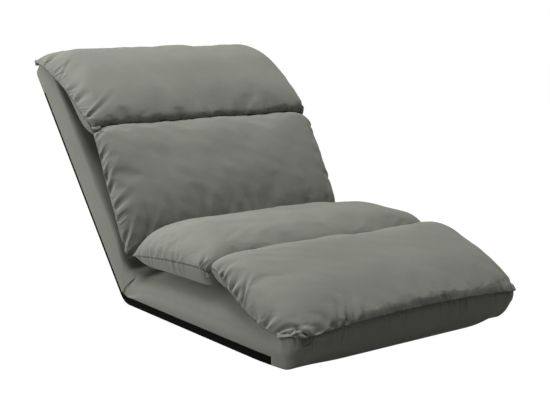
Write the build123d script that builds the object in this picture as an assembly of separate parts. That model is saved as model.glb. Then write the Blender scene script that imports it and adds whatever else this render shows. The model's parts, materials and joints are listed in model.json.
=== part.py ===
from build123d import *
from math import cos, radians, sin, sqrt
import os

# Folding floor chair: a seat pad and a back pad on steel tube frames, joined by two ratchet hinges,
# under a topper of four loose-filled cushions.
# Millimetres. +X is the viewer's right, -Y the front, +Z up. The origin is on the floor under the seat.
# A pad is drawn lying flat: y runs along it from the hinge axis, and z up from its underside. on_seat()
# and on_back() bring it to its place in the chair.

# Pads
WIDTH = 680.0
SEAT_LENGTH = 680.0
BACK_LENGTH = 720.0
PAD_THICKNESS = 110.0
AXIS_HEIGHT = 55.0
AXIS_Y = 320.0
SEAT_CORNER = 95.0
BACK_CORNER = 35.0
SEAT_END_RADIUS = 35.0
SEAT_TOE_RADIUS = 53.0
BACK_END_RADIUS = 76.0
BACK_TOE_RADIUS = 28.0
TOP_EDGE_RADIUS = 32.0
BOTTOM_EDGE_RADIUS = 7.0
COVER = 1.5
FOAM_CLEARANCE = 0.3
SEAT_RIM = 17.0
BACK_RIM = 6.0
COVER_WRAP = 90.0

# Recline
BACK_TILT = 50.0
CLICK = 50.0 / 3
CLICKS_TO_FLAT = 3
CLICKS_TO_FOLDED = 5
FOLD_GAP = 1.0
WEDGE = 22.5
PARTING_ANGLE = 100.0

# Tube frames
TUBE_RADIUS = 9.5
TUBE_WALL = 1.5
TUBE_BEND = 60.0
RAIL_X = 290.0
RAIL_START = 62.0
END_MARGIN = 48.0
CROSS_AT = 150.0
WELD_GAP = 0.05
GROOVE_CLEARANCE = 0.4

# Elastic webbing
STRAP_WIDTH = 40.0
STRAP = 1.6
STRAP_OFFSET = 60.0
STRAP_PITCH = 75.0
SEAT_STRAPS = 5
BACK_STRAPS = 6
STRAP_EASE = 0.1
STRAP_SLOT = 0.3

# Ratchet hinge
WHEEL_THICKNESS = 5.0
WHEEL_ROOT = 18.0
WHEEL_TIP = 22.0
TOOTH_LEAN = 1.5
PLATE_THICKNESS = 2.5
PLATE_GAP = 0.5
PLATE_HEAD = 24.0
ARM_HEIGHT = 14.0
ARM_LENGTH = 100.0
TANG_HEIGHT = 10.0
PIVOT_RADIUS = 5.0
PIVOT_HEAD = 9.0
PIVOT_HEAD_THICKNESS = 2.0
RUNNING = 0.05
CONTACT_ANGLE = 235.0
PAWL_PIVOT_REACH = 33.0
PAWL_PIVOT_ANGLE = 185.0
PAWL_BOSS = 6.0
PAWL_PIN_RADIUS = 3.0
PIN_HEAD = 5.0
PIN_HEAD_THICKNESS = 1.5
NOSE_CLEARANCE = 1.0
PAWL_CLEARANCE = 0.6
PAWL_SLACK = 1.8
SPRING_PIN_REACH = 46.0
SPRING_PIN_ANGLE = 195.0
SPRING_PIN_BOSS = 8.0
LEAF = 0.8
LEAF_WIDTH = 4.0
LEAF_OFF_PAWL = 2.5
LEAF_KNEE_CLICKS = 1.8
RIVET_RADIUS = 2.5
RIVET_HEAD = 4.0
RIVET_HEAD_THICKNESS = 1.2
RIVETS_AT = (76.0, 92.0)
POCKET_CLEARANCE = 1.5

# Cushions. A place on one is its distance along the pad from the hinge axis and its height off the underside.
CUSHION_CLEARANCE = 0.5
SUNK = 2.5
CREASE_GAP = 0.6
SIDE_OVERHANG = 4.0
PLUMP = 8.0
EDGE_SHARE = 0.18
PLACES_ACROSS = (1.0, 0.95, 0.80, 0.45)
END_BULGE = 0.25
SEAM_ROLL = 16.0
SEAM_HEIGHT = 136.0
CREASE_HEIGHT = 186.0
FALL_START_HEIGHT = 202.0
SEAT_CREASE = 372.0
BACK_CREASE = 388.0
REAR_START = -30.0
REAR_START_HEIGHT = 198.0
REAR_CROWN = (185.0, 219.0)
BACK_START = 20.0
BACK_START_HEIGHT = 125.0
BACK_CROWN = (300.0, 205.0)
FRONT_CROWN = (438.0, 210.0)
FRONT_SHOULDER = (505.0, 198.0)
FRONT_OVERHANG = 6.0
FRONT_SEAM = 90.0
FRONT_CORNER = 80.0
HEAD_CROWN = (480.0, 208.0)
HEAD_SHOULDER = (598.0, 188.0)
HEAD_OVERHANG = 12.0
HEAD_SEAM = 22.0
HEAD_CORNER = 12.0

FAR = 1000.0


def on_seat(shape):
    """Turn a flat pad's shape to run forward from the hinge axis."""
    return Pos(0, AXIS_Y, 0) * mirror(shape, about=Plane.XZ)


def on_back(shape):
    """Lift a flat pad's shape to the back's tilt, about the hinge axis."""
    return Pos(0, AXIS_Y, AXIS_HEIGHT) * Rot(BACK_TILT, 0, 0) * Pos(0, 0, -AXIS_HEIGHT) * shape


def prism(points, half_width):
    """A prism along X from points in the YZ plane."""
    face = Plane.YZ * make_face(Polyline(*points, close=True))
    return extrude(face, amount=half_width, both=True)


def box(x0, x1, y0, y1, z0, z1):
    """A box between two corners."""
    middle = Pos((x0 + x1) / 2, (y0 + y1) / 2, (z0 + z1) / 2)
    return middle * Box(x1 - x0, y1 - y0, z1 - z0)


def rod(radius, length, x=0.0, y=0.0, z=0.0):
    """A round bar along X, with its middle at the point."""
    return Pos(x, y, z) * Rot(0, 90, 0) * Cylinder(radius, length)


def polar(reach, angle):
    """The point at a reach and an angle from the hinge axis, as y and z from the axis."""
    return reach * cos(radians(angle)), reach * sin(radians(angle))


# Pads and covers


def fold_space(gap):
    """What a pad gives up to the bend: all past a wedge face above the axis and an end face below."""
    rise = sin(radians(WEDGE))
    run = cos(radians(WEDGE))
    knee = AXIS_HEIGHT - gap * (1 - rise) / run
    reach = (gap + run * (FAR - AXIS_HEIGHT)) / rise
    points = ((-FAR, -FAR), (gap, -FAR), (gap, knee), (reach, FAR), (-FAR, FAR))
    return prism(points, WIDTH)


def end_profile(size, inset):
    """A pad's side view, with the upper and the lower edge of its far end well rounded."""
    length, _, end_radius, toe_radius = size
    view = Pos((length - inset) / 2, PAD_THICKNESS / 2) * Rectangle(length - inset, PAD_THICKNESS - 2 * inset)
    toe = view.vertices().sort_by(Axis.Y)[:2].sort_by(Axis.X)[-1]
    view = fillet(toe, toe_radius - inset)
    brow = view.vertices().sort_by(Axis.Y)[-2:].sort_by(Axis.X)[-1]
    view = fillet(brow, end_radius - inset)
    return extrude(Plane.YZ * view, amount=WIDTH, both=True)


def pad(size, inset):
    """A pad's solid, the inset inside its outer surface."""
    length, corner = size[:2]
    half = WIDTH / 2 - inset
    plan = Pos(0, (length - inset) / 2) * Rectangle(2 * half, length - inset)
    far_corners = plan.vertices().sort_by(Axis.Y)[-2:]
    plan = fillet(far_corners, corner - inset)
    block = extrude(Pos(0, 0, inset) * plan, amount=PAD_THICKNESS - 2 * inset)
    top = block.faces().sort_by(Axis.Z)[-1].edges().sort_by(Axis.Y)[1:]
    block = fillet(top, TOP_EDGE_RADIUS - inset)
    bottom = block.faces().sort_by(Axis.Z)[0].edges().sort_by(Axis.Y)[1:]
    block = fillet(bottom, BOTTOM_EDGE_RADIUS - inset)
    return (block & end_profile(size, inset)) - fold_space(FOLD_GAP + inset)


def shell(size):
    """The cloth all round a pad."""
    return pad(size, 0) - pad(size, COVER)


def black_zone(length, rim):
    """The space of the black underside cloth: the underside and a low rim, short of the far end."""
    return box(-WIDTH, WIDTH, -FAR, length - COVER_WRAP, -1, rim)


def drum_pocket():
    """The round pockets that the hinges turn in."""
    radius = PLATE_HEAD + POCKET_CLEARANCE
    drum = rod(radius, hinge_pocket_width(), z=AXIS_HEIGHT)
    return [Pos(side * RAIL_X, 0, 0) * drum for side in (-1, 1)]


def hinge_pocket_width():
    """The width of a hinge with its rivet heads, and room to run."""
    return hinge_thickness() + 2 * PIVOT_HEAD_THICKNESS + 2 * POCKET_CLEARANCE


def hinge_thickness():
    """The hinge's two plates, its wheel and the gaps between them."""
    return WHEEL_THICKNESS + 2 * (PLATE_THICKNESS + PLATE_GAP)


def pad_cover(size, rim):
    """The upper cloth: top, sides, far end, and the far end of the underside."""
    return shell(size) - black_zone(size[0], rim) - drum_pocket()


def bottom_cloth(size, rim):
    """The black cloth under a pad, turned up at its sides."""
    return shell(size) & black_zone(size[0], rim)


def arm_pocket(depth):
    """The pockets for the hinges' arms, up to the rails' ends."""
    top = AXIS_HEIGHT + ARM_HEIGHT / 2 + POCKET_CLEARANCE
    half = hinge_pocket_width() / 2
    low = AXIS_HEIGHT - depth - POCKET_CLEARANCE
    return [
        box(x - half, x + half, -1, RAIL_START + POCKET_CLEARANCE, low, top)
        for x in (-RAIL_X, RAIL_X)
    ]


def foam(size, upper, pocket_depth, crosses, straps):
    """Half of a pad's foam, grooved for its frame and webbing."""
    inside = pad(size, COVER + FOAM_CLEARANCE)
    if upper:
        half = inside & box(-WIDTH, WIDTH, -FAR, FAR, AXIS_HEIGHT, FAR)
    else:
        half = inside & box(-WIDTH, WIDTH, -FAR, FAR, -FAR, AXIS_HEIGHT)
    groove = TUBE_RADIUS + STRAP_EASE + STRAP + GROOVE_CLEARANCE
    half -= rail_path_solid(size[0], groove)
    for place in crosses:
        half -= rod(TUBE_RADIUS + GROOVE_CLEARANCE, 2 * RAIL_X, y=place, z=AXIS_HEIGHT)
    half -= drum_pocket()
    half -= arm_pocket(pocket_depth)
    if upper:
        slot = STRAP_WIDTH / 2 + STRAP_SLOT
        for place in strap_places(straps):
            top = AXIS_HEIGHT + STRAP + STRAP_SLOT
            half -= box(-RAIL_X, RAIL_X, place - slot, place + slot, AXIS_HEIGHT - 1, top)
    return half


def hinge_space():
    """The room between the two pads at the bend, less the gap to their covers."""
    gap = FOLD_GAP - FOAM_CLEARANCE
    return on_seat(fold_space(gap)) & on_back(fold_space(gap))


def bend_top_cover():
    """The upper cloth in the bend, over the hinges."""
    inner = PLATE_HEAD + POCKET_CLEARANCE
    ring = rod(inner + COVER, WIDTH - 2 * COVER) - rod(inner, WIDTH)
    upper = box(-WIDTH, WIDTH, -FAR, FAR, 0, FAR)
    return (Pos(0, AXIS_Y, AXIS_HEIGHT) * (ring & upper)) & hinge_space()


def bend_bottom_cloth():
    """The black cloth round the outside of the bend."""
    ring = rod(AXIS_HEIGHT, WIDTH - 2 * COVER) - rod(AXIS_HEIGHT - COVER, WIDTH)
    lower = box(-WIDTH, WIDTH, -FAR, FAR, -FAR, 0)
    return (Pos(0, AXIS_Y, AXIS_HEIGHT) * (ring & lower)) & hinge_space()


def bend_gusset(side):
    """The side panel that closes the bend."""
    x = side * (WIDTH - COVER) / 2
    top = PLATE_HEAD + POCKET_CLEARANCE + COVER
    above = rod(top, COVER, x) & box(-WIDTH, WIDTH, -FAR, FAR, 0, FAR)
    below = rod(AXIS_HEIGHT, COVER, x) & box(-WIDTH, WIDTH, -FAR, FAR, -FAR, 0)
    return (Pos(0, AXIS_Y, AXIS_HEIGHT) * (above + below)) & hinge_space()


# Tube frames and webbing


def rail_path(length):
    """The frame's centre line: a rail, the far end's tube and the other rail."""
    far = length - END_MARGIN
    points = ((-RAIL_X, RAIL_START), (-RAIL_X, far), (RAIL_X, far), (RAIL_X, RAIL_START))
    places = [(x, y, AXIS_HEIGHT) for x, y in points]
    return FilletPolyline(*places, radius=TUBE_BEND)


def rail_path_solid(length, radius):
    """A solid round bar along the frame's centre line."""
    path = rail_path(length)
    start = Plane(origin=path @ 0, z_dir=path % 0)
    return sweep(start * Circle(radius), path=path)


def tube_frame(length):
    """The bent tube, drilled for the rivets of its two hinge arms."""
    outer = rail_path_solid(length, TUBE_RADIUS)
    frame = outer - rail_path_solid(length, TUBE_RADIUS - TUBE_WALL)
    for x in (-RAIL_X, RAIL_X):
        for place in RIVETS_AT:
            frame -= rod(RIVET_RADIUS + RUNNING, 4 * TUBE_RADIUS, x, place, AXIS_HEIGHT)
    return frame


def cross_tube(place):
    """A tube between the rails, coped to sit against them."""
    bore = rod(TUBE_RADIUS - TUBE_WALL, 2 * WIDTH, y=place, z=AXIS_HEIGHT)
    tube = rod(TUBE_RADIUS, 2 * RAIL_X, y=place, z=AXIS_HEIGHT) - bore
    rail = Rot(90, 0, 0) * Cylinder(TUBE_RADIUS + WELD_GAP, 4 * TUBE_RADIUS)
    for x in (-RAIL_X, RAIL_X):
        tube -= Pos(x, place, AXIS_HEIGHT) * rail
    return tube.solids().sort_by(SortBy.VOLUME)[-1]


def strap_places(count):
    """Where the webbing's straps cross the frame."""
    return [CROSS_AT + STRAP_OFFSET + STRAP_PITCH * i for i in range(count)]


def lumbar_place():
    """The back's upper cross tube, midway between its two middle straps."""
    places = strap_places(BACK_STRAPS)
    return (places[0] + places[-1]) / 2


def webbing(count):
    """Elastic straps, each with a sewn loop round both rails."""
    inner = TUBE_RADIUS + STRAP_EASE
    lying = Rot(90, 0, 0)
    hole = lying * Cylinder(inner, 2 * STRAP_WIDTH)
    loop = lying * Cylinder(inner + STRAP, STRAP_WIDTH)
    strap = box(-RAIL_X, RAIL_X, -STRAP_WIDTH / 2, STRAP_WIDTH / 2, 0, STRAP)
    for x in (-RAIL_X, RAIL_X):
        strap += Pos(x, 0, 0) * loop
    for x in (-RAIL_X, RAIL_X):
        strap -= Pos(x, 0, 0) * hole
    return Compound([Pos(0, place, AXIS_HEIGHT) * strap for place in strap_places(count)])


# Ratchet hinges. Each is drawn round the hinge axis, and put on its rail by at_hinge().


def at_hinge(shape, side):
    """Put a hinge piece, drawn round the axis, in the plane of a rail."""
    return Pos(side * RAIL_X, AXIS_Y, AXIS_HEIGHT) * shape


def slab(face, thickness, x=0.0):
    """A plate in the YZ plane with its middle at x."""
    return Pos(x, 0, 0) * extrude(Plane.YZ * face, amount=thickness / 2, both=True)


def bar_face(start, end, height):
    """A flat bar's outline along y."""
    return Pos((start + end) / 2, 0) * Rectangle(end - start, height)


def hinge_plate(side):
    """A seat plate: round head, lobe for the pawl, arm, and a tang that enters the rail."""
    boss_y, boss_z = polar(SPRING_PIN_REACH, SPRING_PIN_ANGLE)
    head = Circle(PLATE_HEAD)
    boss = Pos(boss_y, boss_z) * Circle(SPRING_PIN_BOSS)
    lobe = make_hull(head.edges() + boss.edges())
    below = Pos(0, ARM_HEIGHT / 2 - FAR) * Rectangle(2 * FAR, 2 * FAR)
    outline = head + (lobe & below)
    outline += bar_face(-RAIL_START, 0, ARM_HEIGHT)
    outline += bar_face(-ARM_LENGTH, -RAIL_START, TANG_HEIGHT)
    outline -= Circle(PIVOT_RADIUS + RUNNING)
    outline -= Pos(*pawl_pivot()) * Circle(PAWL_PIN_RADIUS + RUNNING)
    outline -= Pos(boss_y, boss_z) * Circle(PAWL_PIN_RADIUS + RUNNING)
    for place in RIVETS_AT:
        outline -= Pos(-place, 0) * Circle(RIVET_RADIUS + RUNNING)
    offset = WHEEL_THICKNESS / 2 + PLATE_GAP + PLATE_THICKNESS / 2
    return slab(outline, PLATE_THICKNESS, side * offset)


def pawl_pivot():
    """The pawl's pivot, as y and z from the hinge axis."""
    return polar(PAWL_PIVOT_REACH, PAWL_PIVOT_ANGLE)


def tooth(angle):
    """One saw tooth: a face that locks at the angle, and a slope that lifts the pawl past it."""
    low = polar(WHEEL_ROOT - 1, angle)
    foot = polar(WHEEL_ROOT, angle)
    tip = polar(WHEEL_TIP, angle + TOOTH_LEAN)
    heel = polar(WHEEL_ROOT, angle + CLICK)
    inner = polar(WHEEL_ROOT - 1, angle + CLICK)
    return make_face(Polyline(low, foot, tip, heel, inner, close=True))


def ratchet_wheel():
    """The back's toothed wheel and the arm that enters its rail, with the back lying flat."""
    outline = Circle(WHEEL_ROOT) + bar_face(0, ARM_LENGTH, ARM_HEIGHT)
    first = CONTACT_ANGLE - BACK_TILT - CLICKS_TO_FOLDED * CLICK
    for i in range(CLICKS_TO_FOLDED + CLICKS_TO_FLAT + 1):
        outline += tooth(first + CLICK * i)
    outline -= Circle(PIVOT_RADIUS + RUNNING)
    for place in RIVETS_AT:
        outline -= Pos(place, 0) * Circle(RIVET_RADIUS + RUNNING)
    return slab(outline, WHEEL_THICKNESS)


def pawl():
    """The pawl: a boss on its pin, and a beak that seats in the wheel's teeth."""
    y, z = pawl_pivot()
    beak_angle = CONTACT_ANGLE - PAWL_SLACK
    beak = (
        polar(WHEEL_ROOT + NOSE_CLEARANCE, beak_angle),
        polar(WHEEL_TIP + PAWL_CLEARANCE, beak_angle + TOOTH_LEAN),
        polar(WHEEL_TIP + PAWL_BOSS, beak_angle),
    )
    shoulder = polar(WHEEL_TIP + PAWL_CLEARANCE, CONTACT_ANGLE - CLICK + TOOTH_LEAN)
    boss = Pos(y, z) * Circle(PAWL_BOSS)
    hold = make_face(Polyline((y, z), shoulder, *beak, close=True))
    rim_angle = PAWL_PIVOT_ANGLE + 90
    rim_y, rim_z = polar(PAWL_BOSS, rim_angle)
    outer = make_face(Polyline((y, z), beak[1], beak[2], (y + rim_y, z + rim_z), close=True))
    outline = boss + hold + outer - Pos(y, z) * Circle(PAWL_PIN_RADIUS + RUNNING)
    return slab(outline, WHEEL_THICKNESS)


def leaf_spring():
    """A leaf clamped round the spring pin, which presses on the pawl's back."""
    pin_y, pin_z = polar(SPRING_PIN_REACH, SPRING_PIN_ANGLE)
    grip = PAWL_PIN_RADIUS + RUNNING
    collar = Pos(pin_y, pin_z) * (Circle(grip + LEAF) - Circle(grip))
    start = (pin_y, pin_z - grip - LEAF)
    bend = polar(WHEEL_TIP + 2 * PAWL_BOSS, CONTACT_ANGLE - LEAF_KNEE_CLICKS * CLICK)
    tip = polar(WHEEL_TIP + PAWL_BOSS + LEAF_OFF_PAWL, CONTACT_ANGLE - CLICK / 2)
    blade = make_face(Polyline(start, bend, tip, _thicker(tip), _thicker(bend), _thicker(start), close=True))
    return slab(collar + blade, LEAF_WIDTH)


def _thicker(point):
    return point[0], point[1] + LEAF


def headed_pin(radius, head_radius, head_thickness, grip, y=0.0, z=0.0):
    """A pin with a flat head against each end of what it grips."""
    pin = rod(radius, grip, 0, y, z)
    for side in (-1, 1):
        pin += rod(head_radius, head_thickness, side * (grip + head_thickness) / 2, y, z)
    return pin


def pivot_rivet():
    """The rivet that carries the back."""
    return headed_pin(PIVOT_RADIUS, PIVOT_HEAD, PIVOT_HEAD_THICKNESS, hinge_thickness())


def pawl_pin():
    """The pawl's pivot pin."""
    return headed_pin(PAWL_PIN_RADIUS, PIN_HEAD, PIN_HEAD_THICKNESS, hinge_thickness(), *pawl_pivot())


def spring_pin():
    """The pin that anchors the leaf spring."""
    place = polar(SPRING_PIN_REACH, SPRING_PIN_ANGLE)
    return headed_pin(PAWL_PIN_RADIUS, PIN_HEAD, PIN_HEAD_THICKNESS, hinge_thickness(), *place)


def rail_rivets(direction):
    """The rivets through a rail and the arm in its bore."""
    return Compound([
        headed_pin(RIVET_RADIUS, RIVET_HEAD, RIVET_HEAD_THICKNESS, 2 * TUBE_RADIUS, direction * place)
        for place in RIVETS_AT
    ])


# Cushions. Each is a loft across the chair through sections that flatten towards its drawn-in sides.


def stations():
    """Places across a cushion, each with its share of the full thickness: 1 - (x / half)^plump, rooted."""
    half = WIDTH / 2 + SIDE_OVERHANG
    shares = [EDGE_SHARE + (1 - EDGE_SHARE) * sqrt(1 - place**PLUMP) for place in PLACES_ACROSS]
    right = [(half * place, share) for place, share in zip(PLACES_ACROSS, shares)]
    return right + [(0.0, 1.0)] + [(-x, share) for x, share in right[::-1]]


def thinned(height, share):
    """A height drawn towards the side seam's."""
    return SEAM_HEIGHT + share * (height - SEAM_HEIGHT)


def pad_space():
    """All that a cushion keeps clear of on the flat of its pad. Cushions are drawn sunk, then cut by it."""
    return box(-WIDTH, WIDTH, -FAR, FAR, -FAR, PAD_THICKNESS + CUSHION_CLEARANCE)


def section(floor, far_end, top, near_end):
    """A cushion's closed section, from its four sides in order round it."""
    return make_face(Wire([floor, far_end, *top, near_end]))


def level_section(x, share, near, near_height, crown, far):
    """The section of a cushion that lies flat on its pad."""
    low = thinned(PAD_THICKNESS - SUNK, share)
    near_top = thinned(near_height, share)
    far_top = thinned(CREASE_HEIGHT, share)
    near_in = near + END_BULGE * (near_top - low)
    far_in = far - END_BULGE * (far_top - low)
    floor = Line((x, near_in, low), (x, far_in, low))
    far_end = ThreePointArc(floor @ 1, (x, far, (low + far_top) / 2), (x, far_in, far_top))
    top = ThreePointArc(far_end @ 1, (x, crown[0], thinned(crown[1], share)), (x, near_in, near_top))
    near_end = ThreePointArc(top @ 1, (x, near, (low + near_top) / 2), floor @ 0)
    return section(floor, far_end, [top], near_end)


def seat_rear_cushion():
    """The seat's rear cushion, up to the back's cushion and clear of the back pad."""
    line = (REAR_START, REAR_START_HEIGHT, REAR_CROWN, SEAT_CREASE - CREASE_GAP / 2)
    whole = loft([level_section(x, share, *line) for x, share in stations()])
    placed = on_seat(whole - pad_space()) - parting_half(-1)
    return placed - on_back(pad_space())


def back_cushion():
    """The back's lower cushion, down to the seat's."""
    line = (BACK_START, BACK_START_HEIGHT, BACK_CROWN, BACK_CREASE - CREASE_GAP / 2)
    whole = loft([level_section(x, share, *line) for x, share in stations()])
    return on_back(whole - pad_space()) - parting_half(1)


def parting_half(side):
    """All on one side of the plane where the seat's and the back's cushions meet."""
    block = box(-WIDTH, WIDTH, -FAR, FAR, 0, FAR)
    if side > 0:
        block = mirror(block, about=Plane.XY)
    lift = Pos(0, 0, side * CUSHION_CLEARANCE)
    return Pos(0, AXIS_Y, AXIS_HEIGHT) * Rot(PARTING_ANGLE - 180, 0, 0) * lift * block


def corner_setback(x, corner):
    """How far a cushion's far seam stands back at x, on its corner's round."""
    turn = (abs(x) - WIDTH / 2 + corner) / corner
    turn = min(max(turn, 0.0), 1.0)
    return corner * (1 - sqrt(1 - turn**2))


def falling_section(x, share, near, crown, shoulder, far, seam):
    """The section of a cushion that falls from its shoulder to a seam on the pad's far end."""
    low = thinned(PAD_THICKNESS - SUNK, share)
    near_top = thinned(FALL_START_HEIGHT, share)
    near_in = near + END_BULGE * (near_top - low)
    roll = SEAM_ROLL * share
    far_in = far - roll / 2
    floor = Line((x, near_in, low), (x, far_in, seam))
    far_end = ThreePointArc(floor @ 1, (x, far, seam + roll / 2), (x, far_in, seam + roll))
    start = (x, near_in, near_top)
    edge = (x, shoulder[0], thinned(shoulder[1], share))
    brow = ThreePointArc(start, (x, crown[0], thinned(crown[1], share)), edge)
    fall = TangentArc(edge, far_end @ 1, tangent=brow % 1)
    near_end = ThreePointArc(start, (x, near, (low + near_top) / 2), floor @ 0)
    return section(floor, far_end, [fall, brow], near_end)


def falling_cushion(size, crease, crown, shoulder, overhang, seam, corner):
    """A cushion from the crease to its seam on the pad's far end, cut clear of the pad."""
    start = crease + CREASE_GAP / 2
    full = size[0] + overhang - start
    faces = []
    for x, share in stations():
        reach = 1 - corner_setback(x, corner) / full
        places = [(start + reach * (y - start), z) for y, z in (crown, shoulder)]
        faces.append(falling_section(x, share, start, *places, start + reach * full, seam))
    return loft(faces) - end_profile(size, -CUSHION_CLEARANCE)


# Nodes


def soft_nodes():
    """Foam, covers, webbing and cushions."""
    seat = (SEAT_LENGTH, SEAT_CORNER, SEAT_END_RADIUS, SEAT_TOE_RADIUS)
    back = (BACK_LENGTH, BACK_CORNER, BACK_END_RADIUS, BACK_TOE_RADIUS)
    seat_inside = (SPRING_PIN_BOSS + SPRING_PIN_REACH / 2, (CROSS_AT,), SEAT_STRAPS)
    back_inside = (ARM_HEIGHT / 2, (CROSS_AT, lumbar_place()), BACK_STRAPS)
    front_fall = (SEAT_CREASE, FRONT_CROWN, FRONT_SHOULDER, FRONT_OVERHANG, FRONT_SEAM, FRONT_CORNER)
    head_fall = (BACK_CREASE, HEAD_CROWN, HEAD_SHOULDER, HEAD_OVERHANG, HEAD_SEAM, HEAD_CORNER)
    return {
        "seat_lower_foam": on_seat(foam(seat, False, *seat_inside)),
        "seat_upper_foam": on_seat(foam(seat, True, *seat_inside)),
        "seat_cover": on_seat(pad_cover(seat, SEAT_RIM)),
        "seat_bottom_cloth": on_seat(bottom_cloth(seat, SEAT_RIM)),
        "seat_webbing": on_seat(webbing(SEAT_STRAPS)),
        "seat_rear_cushion": seat_rear_cushion(),
        "seat_front_cushion": on_seat(falling_cushion(seat, *front_fall)),
        "back_lower_foam": on_back(foam(back, False, *back_inside)),
        "back_upper_foam": on_back(foam(back, True, *back_inside)),
        "back_cover": on_back(pad_cover(back, BACK_RIM)),
        "back_bottom_cloth": on_back(bottom_cloth(back, BACK_RIM)),
        "back_webbing": on_back(webbing(BACK_STRAPS)),
        "back_cushion": back_cushion(),
        "head_cushion": on_back(falling_cushion(back, *head_fall)),
        "bend_top_cover": bend_top_cover(),
        "bend_bottom_cloth": bend_bottom_cloth(),
        "left_bend_gusset": bend_gusset(-1),
        "right_bend_gusset": bend_gusset(1),
    }


def frame_nodes():
    """The two tube frames and their cross tubes."""
    return {
        "seat_tube_frame": on_seat(tube_frame(SEAT_LENGTH)),
        "seat_cross_tube": on_seat(cross_tube(CROSS_AT)),
        "back_tube_frame": on_back(tube_frame(BACK_LENGTH)),
        "back_cross_tubes": on_back(Compound([cross_tube(CROSS_AT), cross_tube(lumbar_place())])),
    }


def hinge_nodes(name, side):
    """One ratchet hinge, on the rail of its side."""
    wheel = Pos(side * RAIL_X, 0, AXIS_HEIGHT) * ratchet_wheel()
    arm_rivets = Pos(side * RAIL_X, 0, AXIS_HEIGHT) * rail_rivets(1)
    return {
        f"{name}_outer_hinge_plate": at_hinge(hinge_plate(side), side),
        f"{name}_inner_hinge_plate": at_hinge(hinge_plate(-side), side),
        f"{name}_ratchet_wheel": on_back(wheel),
        f"{name}_pivot_rivet": at_hinge(pivot_rivet(), side),
        f"{name}_pawl": at_hinge(pawl(), side),
        f"{name}_pawl_pin": at_hinge(pawl_pin(), side),
        f"{name}_spring_pin": at_hinge(spring_pin(), side),
        f"{name}_leaf_spring": at_hinge(leaf_spring(), side),
        f"{name}_seat_rail_rivets": at_hinge(rail_rivets(-1), side),
        f"{name}_back_rail_rivets": on_back(arm_rivets),
    }


def all_nodes():
    """Every node of the chair, by name."""
    nodes = soft_nodes() | frame_nodes()
    return nodes | hinge_nodes("left", -1) | hinge_nodes("right", 1)


os.makedirs("parts", exist_ok=True)
for node, shape in all_nodes().items():
    export_step(shape, f"parts/{node}.step")
    print(f"{node}: {len(shape.solids())} solids, {shape.volume / 1000:.1f} cm3")
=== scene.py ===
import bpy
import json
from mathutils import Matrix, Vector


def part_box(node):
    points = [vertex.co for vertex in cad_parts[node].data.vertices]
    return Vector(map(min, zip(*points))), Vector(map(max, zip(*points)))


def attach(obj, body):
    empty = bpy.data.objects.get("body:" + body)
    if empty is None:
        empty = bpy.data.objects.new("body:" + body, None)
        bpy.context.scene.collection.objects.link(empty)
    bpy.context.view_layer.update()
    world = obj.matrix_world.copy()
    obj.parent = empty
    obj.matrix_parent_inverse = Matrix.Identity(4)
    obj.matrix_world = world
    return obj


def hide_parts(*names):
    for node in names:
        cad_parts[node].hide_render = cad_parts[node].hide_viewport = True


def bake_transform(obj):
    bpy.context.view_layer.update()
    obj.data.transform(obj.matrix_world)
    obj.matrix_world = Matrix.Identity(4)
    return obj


bl_info = {
    "name": "Folding Floor Chair",
    "version": (1, 0, 0),
    "blender": (4, 5, 0),
    "location": "View3D > Sidebar > Floor Chair",
    "description": "Covers, cushions and finishes for the folding floor chair's frame",
    "category": "Object",
}

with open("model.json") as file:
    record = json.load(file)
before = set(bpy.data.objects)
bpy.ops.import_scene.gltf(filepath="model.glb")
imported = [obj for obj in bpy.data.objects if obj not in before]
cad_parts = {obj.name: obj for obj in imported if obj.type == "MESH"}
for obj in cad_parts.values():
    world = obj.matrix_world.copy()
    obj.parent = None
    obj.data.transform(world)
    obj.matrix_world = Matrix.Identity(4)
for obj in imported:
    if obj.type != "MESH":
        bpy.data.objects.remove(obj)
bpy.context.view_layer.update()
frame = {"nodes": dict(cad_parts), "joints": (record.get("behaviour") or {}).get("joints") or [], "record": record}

import json
from functools import cache
from math import cos, pi, radians, sin, tan

import bmesh
import bpy
import numpy as np
from bpy.props import FloatProperty, FloatVectorProperty, PointerProperty
from mathutils import Matrix, Vector

# Metres, in the frame of the CAD. +X is the viewer's right, -Y the front, +Z up.
# Soft pieces are drawn in a pad's own terms: x across, "along" from the hinge axis to the pad's far end,
# and "off" from the pad's underside. on_pad() brings them to the seat, or to the back's tilt.

SEAT_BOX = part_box("seat_cover")
RECLINE = next(joint for joint in frame["joints"] if joint["name"] == "recline")
AXIS_BEHIND = RECLINE["pos_m"][1]
AXIS_HEIGHT = RECLINE["pos_m"][2]
BACK_TILT = radians(50)
AXIS = Vector((0, AXIS_BEHIND, AXIS_HEIGHT))
BEND_WAY = Vector((0, cos(BACK_TILT / 2), sin(BACK_TILT / 2)))
HALF_WIDTH = SEAT_BOX[1].x
PAD_THICKNESS = 2 * AXIS_HEIGHT
TINY = 1e-9

# ---- curves and fields


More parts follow.
